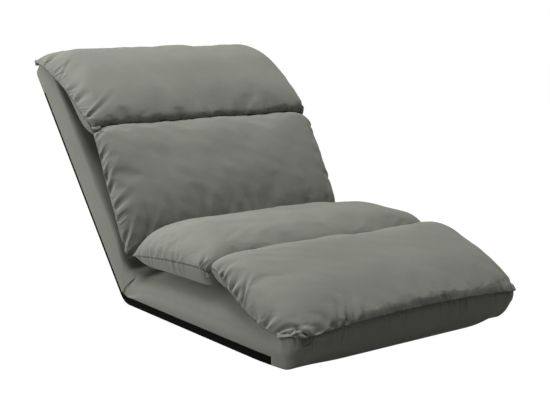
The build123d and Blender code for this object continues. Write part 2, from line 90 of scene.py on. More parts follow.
def curve(points, shares):
    """Points at shares of the chord length of the natural cubic spline through the given points.

    Each stretch is a*p0 + b*p1 + ((a^3 - a)*m0 + (b^3 - b)*m1) * h^2 / 6, with a falling from 1 to 0 as b
    rises, and the second derivatives m solved so that the slope is continuous.
    """
    points = np.asarray(points, float)
    step = np.linalg.norm(np.diff(points, axis=0), axis=1)
    knots = np.concatenate([[0], np.cumsum(step)])
    count = len(points)
    system = np.eye(count)
    turn = np.zeros_like(points)
    inner = np.arange(1, count - 1)
    system[inner, inner - 1] = step[:-1]
    system[inner, inner] = 2 * (step[:-1] + step[1:])
    system[inner, inner + 1] = step[1:]
    turn[1:-1] = 6 * np.diff(np.diff(points, axis=0) / step[:, None], axis=0)
    second = np.linalg.solve(system, turn)
    at = np.clip(shares, 0, 1) * knots[-1]
    i = np.clip(np.searchsorted(knots, at, side="right") - 1, 0, count - 2)
    h = step[i][..., None]
    a = (knots[i + 1] - at)[..., None] / h
    b = 1 - a
    bow = ((a**3 - a) * second[i] + (b**3 - b) * second[i + 1]) * h**2 / 6
    return a * points[i] + b * points[i + 1] + bow


def smooth_step(x):
    """0 below 0, 1 above 1, and 3x^2 - 2x^3 between."""
    x = np.clip(x, 0, 1)
    return x * x * (3 - 2 * x)


def undulation(place, seed, wave, waves=14):
    """A gentle random field: the mean of plane sine waves with random directions and lengths near wave."""
    rng = np.random.default_rng(seed)
    heading = rng.normal(size=(waves, place.shape[-1]))
    heading /= np.linalg.norm(heading, axis=1)[:, None]
    number = 2 * pi / (wave * rng.uniform(0.6, 1.7, waves))
    start = rng.uniform(0, 2 * pi, waves)
    phase = (place @ heading.T) * number + start
    return np.sin(phase).sum(-1) / np.sqrt(waves)


# How a set's folds stray: in place, in parts of their spacing; in width and reach, as factors; in slant; and
# in depth, as a factor raised to a power and then scaled.
FOLD_JITTER = 0.4
FOLD_WIDTHS = (0.6, 1.35)
FOLD_REACHES = (0.4, 1.3)
FOLD_SLANT = 0.5
FOLD_DEPTHS = (0.35, 1.0)
FOLD_DEPTH_POWER = 1.5
FOLD_DEPTH_SCALE = 1.3
# The ridge beside a fold's valley: its height, and its distance in widths.
RIDGE = 0.7
RIDGE_ASIDE = 1.6
# A fold's width at the seam, and what it gains by its reach, both in widths.
FOLD_NARROW = 0.55
FOLD_WIDENS = 0.9
FOLD_STEEP = 6


def gathers(inward, along, seed, count, reach, width, depth, span=None):
    """Folds that run in from a seam: a sum of narrow valleys, each beside its own ridge.

    A fold is depth * profile(q) * rise(inward / reach), where q is the distance from the fold's slanting
    line in widths, the profile is -exp(-q^2) + 0.7 exp(-(q - 1.6)^2), and the rise is steep at the seam and
    dies out at the reach.
    """
    rng = np.random.default_rng(seed)
    low, high = span or (along.min(), along.max())
    jitter = rng.uniform(-FOLD_JITTER, FOLD_JITTER, count)
    height = np.zeros(inward.shape)
    for spot in np.linspace(low, high, count) + jitter * (high - low) / count:
        size = rng.uniform(*FOLD_WIDTHS)
        far = reach * rng.uniform(*FOLD_REACHES)
        slant = rng.uniform(-FOLD_SLANT, FOLD_SLANT)
        q = (along - spot - slant * inward) / (width * size * (FOLD_NARROW + FOLD_WIDENS * inward / far))
        profile = RIDGE * np.exp(-((q - RIDGE_ASIDE) ** 2)) - np.exp(-q * q)
        share = np.clip(inward / far, 0, 1)
        rise = smooth_step(share * FOLD_STEEP) * (1 - smooth_step(share))
        deep = depth * rng.uniform(*FOLD_DEPTHS) ** FOLD_DEPTH_POWER * FOLD_DEPTH_SCALE
        height += deep * profile * rise
    return height


def outward(grid):
    """Unit normals of a grid in pad terms: across times along is off the pad."""
    normal = np.cross(np.gradient(grid, axis=1), np.gradient(grid, axis=0))
    length = np.linalg.norm(normal, axis=-1, keepdims=True)
    return normal / np.maximum(length, TINY)


def run(grid, axis):
    """Distance walked along the grid's lines of one direction, from its first row or column."""
    step = np.linalg.norm(np.diff(grid, axis=axis), axis=-1)
    start = np.zeros_like(np.take(step, [0], axis=axis))
    return np.concatenate([start, np.cumsum(step, axis=axis)], axis=axis)


def on_pad(points, pad):
    """Pad terms (x, along, off) to the frame: the seat runs forward, the back rises at its tilt."""
    x, along, off = np.moveaxis(np.asarray(points, float), -1, 0)
    lift = off - AXIS_HEIGHT
    if pad == "seat":
        return np.stack([x, AXIS_BEHIND - along, AXIS_HEIGHT + lift], -1)
    y = AXIS_BEHIND + along * cos(BACK_TILT) - lift * sin(BACK_TILT)
    z = AXIS_HEIGHT + along * sin(BACK_TILT) + lift * cos(BACK_TILT)
    return np.stack([x, y, z], -1)


def off_pad(points, pad):
    """The frame's points in pad terms: the other way round from on_pad()."""
    x, y, z = np.moveaxis(np.asarray(points, float), -1, 0)
    if pad == "seat":
        return np.stack([x, AXIS_BEHIND - y, z], -1)
    y, z = y - AXIS_BEHIND, z - AXIS_HEIGHT
    along = y * cos(BACK_TILT) + z * sin(BACK_TILT)
    return np.stack([x, along, AXIS_HEIGHT - y * sin(BACK_TILT) + z * cos(BACK_TILT)], -1)


# ---- meshes

DOUBLES = 1e-5


def sheet_faces(rows, columns, offset=0, flip=False):
    """The quads of a grid of points, as index rows."""
    corner = np.arange(rows * columns).reshape(rows, columns) + offset
    ring = [corner[:-1, :-1], corner[:-1, 1:], corner[1:, 1:], corner[1:, :-1]]
    if flip:
        ring = ring[::-1]
    return np.stack(ring, -1).reshape(-1, 4)


def in_scene(name, data):
    """A new object with this data, in the scene's own collection."""
    made = bpy.data.objects.new(name, data)
    bpy.context.scene.collection.objects.link(made)
    return made


def mesh_object(name, points, faces, fields=None):
    """A mesh of quads with its doubles merged and unused points dropped. fields are point attributes."""
    mesh = bpy.data.meshes.new(name)
    mesh.from_pydata(points.reshape(-1, 3).tolist(), [], faces.tolist())
    for key, values in (fields or {}).items():
        layer = mesh.attributes.new(key, "FLOAT", "POINT")
        layer.data.foreach_set("value", values.ravel().astype(np.float32))
    work = bmesh.new()
    work.from_mesh(mesh)
    bmesh.ops.remove_doubles(work, verts=work.verts, dist=DOUBLES)
    bmesh.ops.dissolve_degenerate(work, edges=work.edges, dist=DOUBLES / 10)
    loose = [vert for vert in work.verts if not vert.link_faces]
    bmesh.ops.delete(work, geom=loose, context="VERTS")
    bmesh.ops.recalc_face_normals(work, faces=work.faces)
    work.to_mesh(mesh)
    work.free()
    mesh.shade_smooth()
    return in_scene(name, mesh)


def thicken(piece, thickness, offset):
    """Give a sheet its thickness, inwards with offset -1 and both ways with 0."""
    wall = piece.modifiers.new("Cloth", "SOLIDIFY")
    wall.thickness = thickness
    wall.offset = offset
    sheet = piece.data
    graph = bpy.context.evaluated_depsgraph_get()
    piece.data = bpy.data.meshes.new_from_object(piece.evaluated_get(graph))
    piece.modifiers.clear()
    bpy.data.meshes.remove(sheet)
    piece.data.shade_smooth()


def dress(piece, slot, *nodes):
    """Give a piece the material of a slot, and hide the CAD nodes that it stands for, if any."""
    piece.data.materials.clear()
    piece.data.materials.append(finish_for(slot))
    if nodes:
        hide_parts(*nodes)


# ---- shader arithmetic


class Link:
    """One output of a node. Arithmetic on it adds Math nodes."""

    def __init__(self, graph, socket):
        self.graph = graph
        self.socket = socket

    def _math(self, operation, *values):
        return self.graph.add("ShaderNodeMath", values, operation=operation)

    def __add__(self, other):
        return self._math("ADD", self, other)

    def __mul__(self, other):
        return self._math("MULTIPLY", self, other)

    def __rsub__(self, other):
        return self._math("SUBTRACT", other, self)

    def fit(self, low, high, start=0.0, end=1.0):
        """Carry low..high to start..end, held at both ends."""
        values = (self, low, high, start, end)
        return self.graph.add("ShaderNodeMapRange", values, interpolation_type="SMOOTHSTEP")

    def clamp(self):
        """Held between 0 and 1."""
        return self.graph.add("ShaderNodeClamp", (self, 0.0, 1.0))


class Graph:
    """A node tree that is built by one method."""

    def __init__(self, tree):
        self.tree = tree
        tree.nodes.clear()

    def add(self, kind, values=(), output=0, **settings):
        """A node with its settings, and its sockets' values or links by place or by name."""
        node = self.tree.nodes.new(kind)
        for key, value in settings.items():
            setattr(node, key, value)
        pairs = values.items() if isinstance(values, dict) else enumerate(values)
        for key, value in pairs:
            socket = node.inputs[key]
            if isinstance(value, Link):
                self.tree.links.new(value.socket, socket)
            elif value is not None:
                socket.default_value = value
        return Link(self, node.outputs[output])

    def end(self, shader, kind="ShaderNodeOutputMaterial"):
        """Join a shader to the tree's output."""
        node = self.tree.nodes.new(kind)
        self.tree.links.new(shader.socket, node.inputs["Surface"])


class Finish(Graph):
    """A material, on the way to its one shader."""

    def __init__(self, name):
        self.material = bpy.data.materials.new(name)
        self.material.use_nodes = True
        super().__init__(self.material.node_tree)
        self.place = self.add("ShaderNodeTexCoord", (), "Object")

    def stretched(self, scale, turn=(0, 0, 0)):
        """Object coordinates, turned and scaled."""
        return self.add("ShaderNodeMapping", {"Vector": self.place, "Rotation": turn, "Scale": scale})

    def noise(self, scale, detail=2.0, roughness=0.5, place=None, distortion=0.0):
        """Noise of a scale in waves per metre."""
        values = {"Vector": place or self.place, "Scale": scale, "Detail": detail}
        values |= {"Roughness": roughness, "Distortion": distortion}
        return self.add("ShaderNodeTexNoise", values)

    def cells(self, scale, feature="F1"):
        """Distance to the nearest of a scatter of points."""
        values = {"Vector": self.place, "Scale": scale}
        return self.add("ShaderNodeTexVoronoi", values, "Distance", feature=feature)

    def bands(self, scale, direction, distortion=0.0):
        """Sine bands along one axis."""
        values = {"Vector": self.place, "Scale": scale, "Distortion": distortion}
        return self.add("ShaderNodeTexWave", values, "Fac", wave_type="BANDS", bands_direction=direction)

    def field(self, name):
        """A point attribute of the piece."""
        return self.add("ShaderNodeAttribute", (), "Fac", attribute_name=name)

    def mix(self, share, first, second):
        """From the first colour to the second."""
        return self.add("ShaderNodeMix", {0: share, 6: rgba(first), 7: rgba(second)}, 2, data_type="RGBA")

    def bump(self, height, distance, strength=1.0, normal=None):
        """A bump of a depth in metres."""
        values = {"Strength": strength, "Distance": distance, "Height": height, "Normal": normal}
        return self.add("ShaderNodeBump", values)

    def close(self, color, roughness, normal=None, **constants):
        """Set the shader and the output, and give back the material."""
        values = {"Base Color": rgba(color), "Roughness": roughness, "Normal": normal}
        values |= {key.replace("_", " "): value for key, value in constants.items()}
        self.end(self.add("ShaderNodeBsdfPrincipled", values))
        return self.material


def rgba(color):
    """A colour as a socket takes it, or a link as it is."""
    return color if isinstance(color, Link) or len(color) == 4 else (*color, 1.0)


def shade(color, factor):
    """A colour made lighter or darker."""
    return tuple(min(1.0, part * factor) for part in color[:3])


# ---- finishes


def suede():
    """Brushed microfibre: a short nap that lies in soft patches, with fine pile and faint drag lines, and painted
    shade in the gathers' valleys near the seams and along the seams.
    """
    look = bpy.context.scene.chair_finish
    color = tuple(look.suede)
    f = Finish("brushed_suede")
    patch = f.noise(5.0, 3.0, 0.55, distortion=0.4)
    brush = f.noise(1.0, 4.0, 0.6, f.stretched((14, 40, 14), (0.2, 0.1, 0.5)), 0.8)
    speck = f.noise(420.0, 2.0, 0.6)
    nap = patch.fit(0.3, 0.7) * 0.5 + brush.fit(0.3, 0.7) * 0.35 + speck * 0.15
    light = f.mix(nap, shade(color, 1 - look.nap), shade(color, 1 + look.nap))
    pull = f.field("pull")
    line = f.add("ShaderNodeCombineXYZ", (f.field("way") * 75.0, pull * 11.0, 0.0))
    fold = f.noise(1.0, 2.0, 0.45, line, 0.5).fit(0.34, 0.62)
    some = f.noise(0.16, 1.0, 0.5, line).fit(0.42, 0.6)
    seam_folds_and_shade = pull.fit(0.0, 0.052, 1.0, 0.0) * (some * 0.8 + 0.2)
    # Painted shade: the valleys of the gathers near the seams are darkened towards 0.3 of the suede's colour.
    light = f.mix(seam_folds_and_shade * (1 - fold) * 0.30, light, shade(color, 0.3))
    # Painted shade: a thin dark line along the seams, at 0.42 of the suede's colour.
    seam = f.field("seam").fit(0.0008, 0.003)
    tone = f.mix(seam, shade(color, 0.42), light)
    pile = f.noise(1500.0, 2.0, 0.7)
    weave = f.noise(260.0, 3.0, 0.6)
    crease = f.noise(38.0, 3.0, 0.5, distortion=1.2)
    rough = brush.fit(0.2, 0.8, 0.8, 0.94)
    normal = f.bump(fold * seam_folds_and_shade, 0.0035, 0.8)
    normal = f.bump(crease, 0.0012, 0.5, normal)
    normal = f.bump(weave, 0.0003, 0.6, normal)
    normal = f.bump(pile, 0.00015, 0.5, normal)
    sheen = {"Sheen_Weight": 0.25, "Sheen_Roughness": 0.5, "Sheen_Tint": rgba(shade(color, 2.2))}
    return f.close(tone, rough, normal, Specular_IOR_Level=0.2, **sheen)


def black_cloth():
    """Spun-bonded underside cloth with a fine pressed grid."""
    color = tuple(bpy.context.scene.chair_finish.underside)
    f = Finish("black_underside_cloth")
    grid = f.bands(90, "X") * f.bands(90, "Y")
    fuzz = f.noise(700.0, 3.0, 0.6)
    tone = f.mix(fuzz, shade(color, 0.6), shade(color, 1.6))
    normal = f.bump(grid + fuzz * 0.6, 0.0003, 0.6)
    return f.close(tone, fuzz.fit(0.2, 0.8, 0.85, 0.98), normal, Specular_IOR_Level=0.04)


def foam():
    """Cut polyurethane foam: open cells with painted shade in their hollows, and a warm cream that has yellowed in
    places.
    """
    f = Finish("cut_foam")
    cell = f.cells(700.0)
    patch = f.noise(9.0, 3.0)
    tone = f.mix(patch.fit(0.35, 0.65), (0.80, 0.74, 0.56), (0.76, 0.66, 0.42))
    # Painted shade: the cells' hollow middles are darker, at 0.8 of a mid foam colour.
    tone = f.mix(cell.fit(0.0, 0.5), (0.56, 0.496, 0.352), tone)
    return f.close(tone, patch.fit(0, 1, 0.9, 1.0), f.bump(cell, 0.0008, 0.7))


def webbing():
    """Elastic webbing: ribs across the strap and a close, dark weave."""
    f = Finish("elastic_webbing")
    ribs = f.bands(120, "X")
    yarn = f.bands(190, "Y", distortion=0.4) * f.bands(260, "X")
    tone = f.mix(yarn, (0.018, 0.018, 0.02), (0.06, 0.06, 0.066))
    return f.close(tone, yarn.fit(0, 1, 0.6, 0.85), f.bump(ribs + yarn * 0.5, 0.0004, 0.8))


def tube_paint():
    """Black powder coat with a light orange peel and thin, duller patches."""
    f = Finish("powder_coat")
    peel = f.noise(520.0, 1.0)
    dull = f.noise(22.0, 3.0)
    tone = f.mix(dull.fit(0.4, 0.7), (0.022, 0.022, 0.024), (0.042, 0.042, 0.045))
    return f.close(tone, dull.fit(0.3, 0.7, 0.32, 0.5), f.bump(peel, 0.00012, 0.5))


def zinc():
    """Bright zinc plate: fine spangle, faint grain and a darker film in patches."""
    f = Finish("zinc_plate")
    spangle = f.cells(260.0, "SMOOTH_F1")
    grain = f.noise(1.0, 2.0, 0.6, f.stretched((300, 2600, 300)))
    film = f.noise(60.0, 3.0)
    tone = f.mix(film.fit(0.35, 0.7), (0.66, 0.67, 0.66), (0.44, 0.45, 0.46))
    rough = spangle.fit(0.1, 0.6, 0.26, 0.42) + grain * 0.08
    return f.close(tone, rough, f.bump(grain, 0.00004, 0.5), Metallic=1.0)


def spring_steel():
    """Tempered spring steel: blue-grey that turns to straw in patches."""
    f = Finish("tempered_steel")
    temper = f.noise(45.0, 2.0)
    grain = f.noise(1.0, 2.0, 0.6, f.stretched((2400, 260, 260)))
    tone = f.mix(temper.fit(0.35, 0.7), (0.26, 0.29, 0.36), (0.42, 0.38, 0.30))
    return f.close(tone, grain.fit(0.2, 0.8, 0.25, 0.4), f.bump(grain, 0.00003, 0.5), Metallic=1.0)


FINISHES = (suede, black_cloth, foam, webbing, tube_paint, zinc, spring_steel)
MAKERS = {maker.__name__: maker for maker in FINISHES}


@cache
def finish_for(slot):
    """The finish of a slot, made once."""
    return MAKERS[slot]()


# ---- cushions

ACROSS = 169
LONGWAYS = 169
CROWD = 0.55
PINNED_RIM = 0.03
FOLD_ZONE = 0.07
LUMP_WAVES = (0.16, 0.06)
FINE_LUMPS = 0.3
SWELL_POWER = 0.7
END_FALL = 0.56

# Where the front cushion starts to come down to its seam, as a share of its length, how sharply its sides
# are left out, and how far it stands off the border.
MEET_FROM = 0.72
MEET_SIDES = 6
BORDER_LIFT = 0.0012

# The dart's foot and slant, and how far back it reaches.
DART_X = 0.296
DART_FOOT = 0.64
DART_SLANT = 0.1
DART_REACH = 0.618

# Each cushion's lines, in pad terms and millimetres. top and floor run at the chair's middle as
# (along, off), edge is the side seam as (x, along, off), and all run from the hinge's end to the far end.
MILLIMETRE = 0.001
REAR_TOP = (
    (12, 150), (24, 178), (46, 200), (90, 215), (150, 224), (220, 228), (300, 224), (340, 214), (362, 196),
    (370.5, 172), (371.8, 146),
)
REAR_FLOOR = (
    (12, 150), (22, 128), (50, 113.5), (150, 111.5), (330, 111.5), (362, 119), (371.8, 146),
)
REAR_EDGE = (
    (338, 20, 130), (345, 60, 138), (347, 118, 146), (347, 227, 157), (346, 300, 161), (344, 345, 160),
    (333, 371.5, 148),
)
FRONT_TOP = (
    (373.2, 146), (374.2, 172), (381, 191), (398, 201), (430, 206), (475, 203), (546, 184), (599, 164),
    (641, 142), (668, 121), (684, 100), (688.5, 84),
)
FRONT_FLOOR = (
    (373.2, 146), (376, 122), (390, 111.5), (500, 111.5), (610, 111.5), (645, 108), (672, 98), (688.5, 84),
)
FRONT_EDGE = (
    (337, 373.5, 156), (345, 384, 168), (348, 404, 170), (349, 425, 157), (350, 474, 126), (349, 529, 98),
    (346, 575, 80), (341, 610, 73), (326, 646, 74),
)
BACK_TOP = (
    (70, 126), (84, 150), (108, 168), (150, 184), (200, 196), (260, 204), (320, 208), (356, 206),
    (377, 201), (386.5, 190), (388.4, 166),
)
BACK_FLOOR = (
    (70, 126), (72, 116), (100, 111.5), (200, 111.5), (350, 111.5), (378, 122), (388.4, 166),
)
BACK_EDGE = (
    (338, 46, 98), (345, 80, 107), (346, 110, 113), (346, 161, 125), (346, 208, 134), (346, 258, 145),
    (346, 324, 162), (345, 366, 168), (341, 388.4, 165),
)
HEAD_TOP = (
    (389, 166), (389.3, 186), (394, 199), (410, 207), (442, 211), (485, 211), (530, 206), (585, 194),
    (630, 174), (668, 141), (698, 101), (717, 60), (724, 30),
)
HEAD_FLOOR = (
    (389, 166), (391, 126), (405, 111.5), (500, 111.5), (620, 111.5), (670, 105), (705, 80), (720, 52),
    (724, 30),
)
HEAD_EDGE = (
    (341, 389, 165), (346, 402, 171), (350, 440, 164), (351, 500, 146), (350, 550, 126), (349, 605, 98),
    (348, 655, 70), (346, 695, 42), (342, 722, 18),
)


# node: what the cushion stands for. bends: it crosses the hinge. corners: the panels' shoulders at the two
# ends. plump: the upper panel's. under: the lower panel's shoulder and fall. folds: see fold_in().
CUSHIONS = {
    "rear_seat_pillow": {
        "node": "seat_rear_cushion", "pad": "seat", "bends": True, "seed": 21,
        "lines": (REAR_TOP, REAR_FLOOR, REAR_EDGE),
        "corners": (2.2, 10.0), "plump": 8.0, "under": (26.0, 0.5), "sewn_ends": (True, False),
        "folds": (
            ("left", 11, 7, 0.05, 0.009, 0.0024),
            ("right", 12, 7, 0.05, 0.009, 0.0024),
            ("far", 13, 16, 0.06, 0.015, 0.0036),
            ("left", 15, 3, 0.045, 0.006, 0.0080, (0.315, 0.365)),
        ),
    },
    "front_seat_pillow": {
        "node": "seat_front_cushion", "pad": "seat", "bends": False, "seed": 41,
        "lines": (FRONT_TOP, FRONT_FLOOR, FRONT_EDGE),
        "corners": (22.0, 9.0), "plump": 9.0, "under": (9.0, 1.0), "sewn_ends": (False, True),
        "folds": (
            ("left", 31, 15, 0.065, 0.008, 0.0052),
            ("right", 32, 12, 0.060, 0.008, 0.0040),
            ("far", 33, 8, 0.085, 0.010, 0.0080, (-0.33, -0.19)),
            ("far", 34, 14, 0.045, 0.012, 0.0016, (-0.15, 0.32)),
        ),
    },
    "lumbar_pillow": {
        "node": "back_cushion", "pad": "back", "bends": True, "seed": 61,
        "lines": (BACK_TOP, BACK_FLOOR, BACK_EDGE),
        "corners": (3.0, 14.0), "plump": 6.5, "under": (7.0, 1.0), "sewn_ends": (True, False),
        "folds": (
            ("left", 57, 9, 0.080, 0.010, 0.0050),
            ("right", 52, 8, 0.065, 0.010, 0.0036),
            ("near", 53, 22, 0.130, 0.011, 0.0048),
        ),
    },
    "head_pillow": {
        "node": "head_cushion", "pad": "back", "bends": False, "seed": 81,
        "lines": (HEAD_TOP, HEAD_FLOOR, HEAD_EDGE),
        "corners": (12.0, 14.0), "plump": 6.5, "under": (18.0, 0.7), "sewn_ends": (False, True),
        "folds": (
            ("left", 75, 9, 0.100, 0.009, 0.0046),
            ("right", 72, 8, 0.075, 0.009, 0.0032),
            ("near", 73, 22, 0.075, 0.014, 0.0034),
        ),
    },
}


def spread(count, crowd):
    """Shares from 0 to 1, crowded towards both ends: a mix of even steps and a cosine."""
    even = np.linspace(0, 1, count)
    return (1 - crowd) * even + crowd * (0.5 - 0.5 * np.cos(pi * even))


def cushion_panels(top, floor, edge, corners, plump, under):
    """The upper and the lower panel of a sewn cushion, as grids in pad terms.

    A panel's point at (u, v) is edge(v) + (middle(v) - edge(v)) * (1 - |u|^shoulder)^fall, with
    x = half(v) * u, where middle is the top or the floor line at the chair's centre and edge is the side
    seam. The shoulder goes from the corners' values at the two ends to the panel's own half way, so that the
    corners draw in to points. under is the lower panel's shoulder and fall: a fall of 1 leaves the seam at a
    slope, which opens a wedge between the cushion and its pad.
    """
    v = spread(LONGWAYS, CROWD)
    turn = np.linspace(-pi / 2, pi / 2, ACROSS)
    u = np.sin(turn)[None, :]
    seam = curve(edge, v)[:, None, :] * MILLIMETRE
    swell = np.sin(pi * v)[:, None] ** SWELL_POWER
    near, far = corners
    corner = (near + (far - near) * v)[:, None]
    panels = []
    for line, shoulder, fall in ((top, plump, 0.5), (floor, *under)):
        middle = curve(line, v)[:, None, :] * MILLIMETRE
        power = corner + (shoulder - corner) * swell
        end_fall = max(END_FALL, fall)
        root = end_fall + (fall - end_fall) * swell
        full = np.maximum(1 - np.abs(u) ** power, 0) ** root
        side = seam[..., 1:] + (middle - seam[..., 1:]) * full[..., None]
        x = seam[..., 0] * u
        panels.append(np.concatenate([x[..., None], side], -1))
    return panels


def edge_distances(panel):
    """Each point's distance on the panel from its left, right, near and far edge."""
    across = run(panel, 1)
    down = run(panel, 0)
    return np.stack([across, across[:, -1:] - across, down, down[-1:] - down])


def seam_distance(panel, ends=(True, True)):
    """Distance on the panel to its nearest sewn side, or also to the ends that are sewn in sight."""
    return edge_distances(panel)[[True, True, *ends]].min(0)


def fold_in(panel, folds):
    """The height of a panel's gathers. A fold set is (side, seed, count, reach, width, depth[, span])."""
    left, right, near, far = edge_distances(panel)
    x = panel[..., 0]
    places = {"left": (left, near[:, :1]), "right": (right, near[:, -1:]), "near": (near, x), "far": (far, x)}
    height = np.zeros_like(x)
    for side, *numbers in folds:
        height = height + gathers(*places[side], *numbers)
    return height


def gathered(panel):
    """For each point of a panel, its distance from the nearest edge, and its place along that edge."""
    ways = edge_distances(panel)
    x, down = panel[..., 0], ways[2]
    places = np.stack([down, down + 3, x + 6, x + 9])
    nearest = np.argmin(ways, axis=0)[None]
    return np.take_along_axis(ways, nearest, 0)[0], np.take_along_axis(places, nearest, 0)[0]


def meet_border(panel):
    """Bring a panel's far end on to the front border's seam, fading over its last quarter."""
    half = np.abs(panel[-1:, :, 0]).max()
    x = panel[-1, :, 0]
    goal = np.stack([x, nose_at(x) + BORDER_LIFT, seam_height(x)], -1)
    share = smooth_step((spread(LONGWAYS, CROWD) - MEET_FROM) / (1 - MEET_FROM))[:, None, None]
    side = (np.abs(x) / half)[None, :, None] ** MEET_SIDES
    return panel + (goal - panel[-1])[None] * share * (1 - side * (1 - share))


def dart_distance(panel):
    """Distance across the front cushion's top to the dart at its right end, which runs up from the border."""
    x, along = panel[..., 0], panel[..., 1]
    return np.hypot(x - DART_X - DART_SLANT * (along - DART_FOOT), np.maximum(DART_REACH - along, 0))


def make_cushion(name):
    """A cushion: its two panels, with gathers and a loose filling's unevenness on the upper one.

    It rides on its pad's body, or keeps its place in the frame where it crosses the hinge.
    """
    size = bpy.context.scene.chair_sizes
    row = CUSHIONS[name]
    seed, front = row["seed"], name == "front_seat_pillow"
    upper, lower = cushion_panels(*row["lines"], row["corners"], row["plump"], row["under"])
    if front:
        upper, lower = meet_border(upper), meet_border(lower)
    free = smooth_step(seam_distance(upper) / PINNED_RIM)
    broad, fine = (undulation(upper, seed + i, wave) for i, wave in enumerate(LUMP_WAVES))
    lumps = (broad + FINE_LUMPS * fine) * size.lumps * free
    height = lumps + fold_in(upper, row["folds"]) * size.fold_depth
    upper = settle(upper + outward(upper) * height[..., None], 1 - free)
    rows, columns = free.shape
    faces = np.concatenate([sheet_faces(rows, columns), sheet_faces(rows, columns, free.size, True)])
    # The pull and way fields place the suede's painted gather shade, and the seam field its painted shade line
    # along the sewn sides, the ends sewn in sight and the front cushion's dart.
    pull, way = (np.stack(pair) for pair in zip(gathered(upper), gathered(lower)))
    seam = np.stack([seam_distance(panel, row["sewn_ends"]) for panel in (upper, lower)])
    if front:
        seam[0] = np.minimum(seam[0], dart_distance(upper))
    fields = {"pull": pull, "way": way + seed, "seam": seam}
    piece = mesh_object(name, on_pad(np.stack([upper, lower]), row["pad"]), faces, fields)
    dress(piece, "suede", row["node"])
    if row["bends"]:
        bend(piece)
    else:
        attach(piece, row["pad"])


def refine(grid):
    """A grid with the means of its neighbours put between them, both ways."""
    for axis in (0, 1):
        grid = np.moveaxis(grid, axis, 0)
        fine = np.empty((2 * len(grid) - 1, *grid.shape[1:]))
        fine[::2] = grid
        fine[1::2] = (grid[:-1] + grid[1:]) / 2
        grid = np.moveaxis(fine, 0, axis)
    return grid


WEIGHT_STEPS = 20
CLOTH_FRAMES = 20
CLOTH_SETTINGS = {
    "quality": 6, "mass": 0.25, "air_damping": 3, "use_pressure": True,
    "tension_stiffness": 18, "compression_stiffness": 12, "shear_stiffness": 4, "bending_stiffness": 0.4,
    "vertex_group_mass": "pins", "vertex_group_shrink": "gathered",
}


def weigh(piece, name, weights):
    """A vertex group from one weight a point, in steps of a twentieth."""
    group = piece.vertex_groups.new(name=name)
    steps = np.round(weights.ravel() * WEIGHT_STEPS)
    for step in np.unique(steps[steps > 0]):
        group.add(np.nonzero(steps == step)[0].tolist(), float(step) / WEIGHT_STEPS, "REPLACE")


def settle(panel, hold):
    """A panel after Blender's cloth, run on every other line of its grid.

    The cloth is blown up from below and is larger than its stuffing: by ease_at_seams near its edges, where
    it is gathered, and by ease at the middle. hold pins it. What it moves is capped at swell, by a
    hyperbolic tangent.
    """
    size = bpy.context.scene.chair_sizes
    start = panel[::2, ::2]
    rows, columns = start.shape[:2]
    mesh = bpy.data.meshes.new("cloth_panel")
    mesh.from_pydata(start.reshape(-1, 3).tolist(), [], sheet_faces(rows, columns).tolist())
    piece = in_scene("cloth_panel", mesh)
    weigh(piece, "pins", hold[::2, ::2])
    weigh(piece, "gathered", 1 - smooth_step(seam_distance(start) / FOLD_ZONE))
    cloth = piece.modifiers.new("Cloth", "CLOTH")
    for key, value in CLOTH_SETTINGS.items():
        setattr(cloth.settings, key, value)
    cloth.settings.shrink_min = -size.ease
    cloth.settings.shrink_max = -size.ease_at_seams
    cloth.settings.uniform_pressure_force = size.filling
    cloth.settings.effector_weights.gravity = 0
    cloth.collision_settings.use_collision = False
    cloth.collision_settings.use_self_collision = False
    scene = bpy.context.scene
    for frame_number in range(1, CLOTH_FRAMES + 1):
        scene.frame_set(frame_number)
    moved = np.zeros(rows * columns * 3, np.float32)
    graph = bpy.context.evaluated_depsgraph_get()
    piece.evaluated_get(graph).data.vertices.foreach_get("co", moved)
    scene.frame_set(1)
    bpy.data.objects.remove(piece)
    bpy.data.meshes.remove(mesh)
    shift = refine(moved.reshape(start.shape) - start)
    length = np.maximum(np.linalg.norm(shift, axis=-1, keepdims=True), TINY)
    return panel + shift * size.swell * np.tanh(length / size.swell) / length * (1 - hold)[..., None]


# How far each side of the hinge axis the foam copies are cut across.
CASE_BEND = 0.09


def bend(piece):
    """Bake a piece's placement into its points."""
    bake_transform(piece)


# A roll's grid, its first radius, its flatness, its ripple's height, turns and twist, and its cloth.
ROLL_ROWS = 9
ROLL_COLUMNS = 40
ROLL_INNER = 0.45
ROLL_FLAT = 0.8
ROLL_RIPPLE = (0.10, 3, 5)
ROLL_ASIDE = (0.0, 0.35, 1.0)
ROLL_CLOTH = 0.0014
ROLL_PULL = 0.012

# The rolls beside a cushion, and each one's sides, start and end in pad terms, radius, turns, the spiral's
# first angle and its taper.
ROLLS = {
    "front_seat_pillow": (
        "seat_tucks",
        ((-1,), (0.341, 0.624, 0.071), (0.318, 0.668, 0.080), 0.0095, 1.30, 4.0, 0.3),
    ),
    "head_pillow": (
        "head_tucks",
        ((-1, 1), (0.342, 0.714, 0.022), (0.300, 0.700, 0.052), 0.0105, 1.35, 4.2, 0.2),
        ((-1,), (0.341, 0.3884, 0.168), (0.322, 0.3886, 0.178), 0.0100, 1.25, 4.0, 0.5),
    ),
}


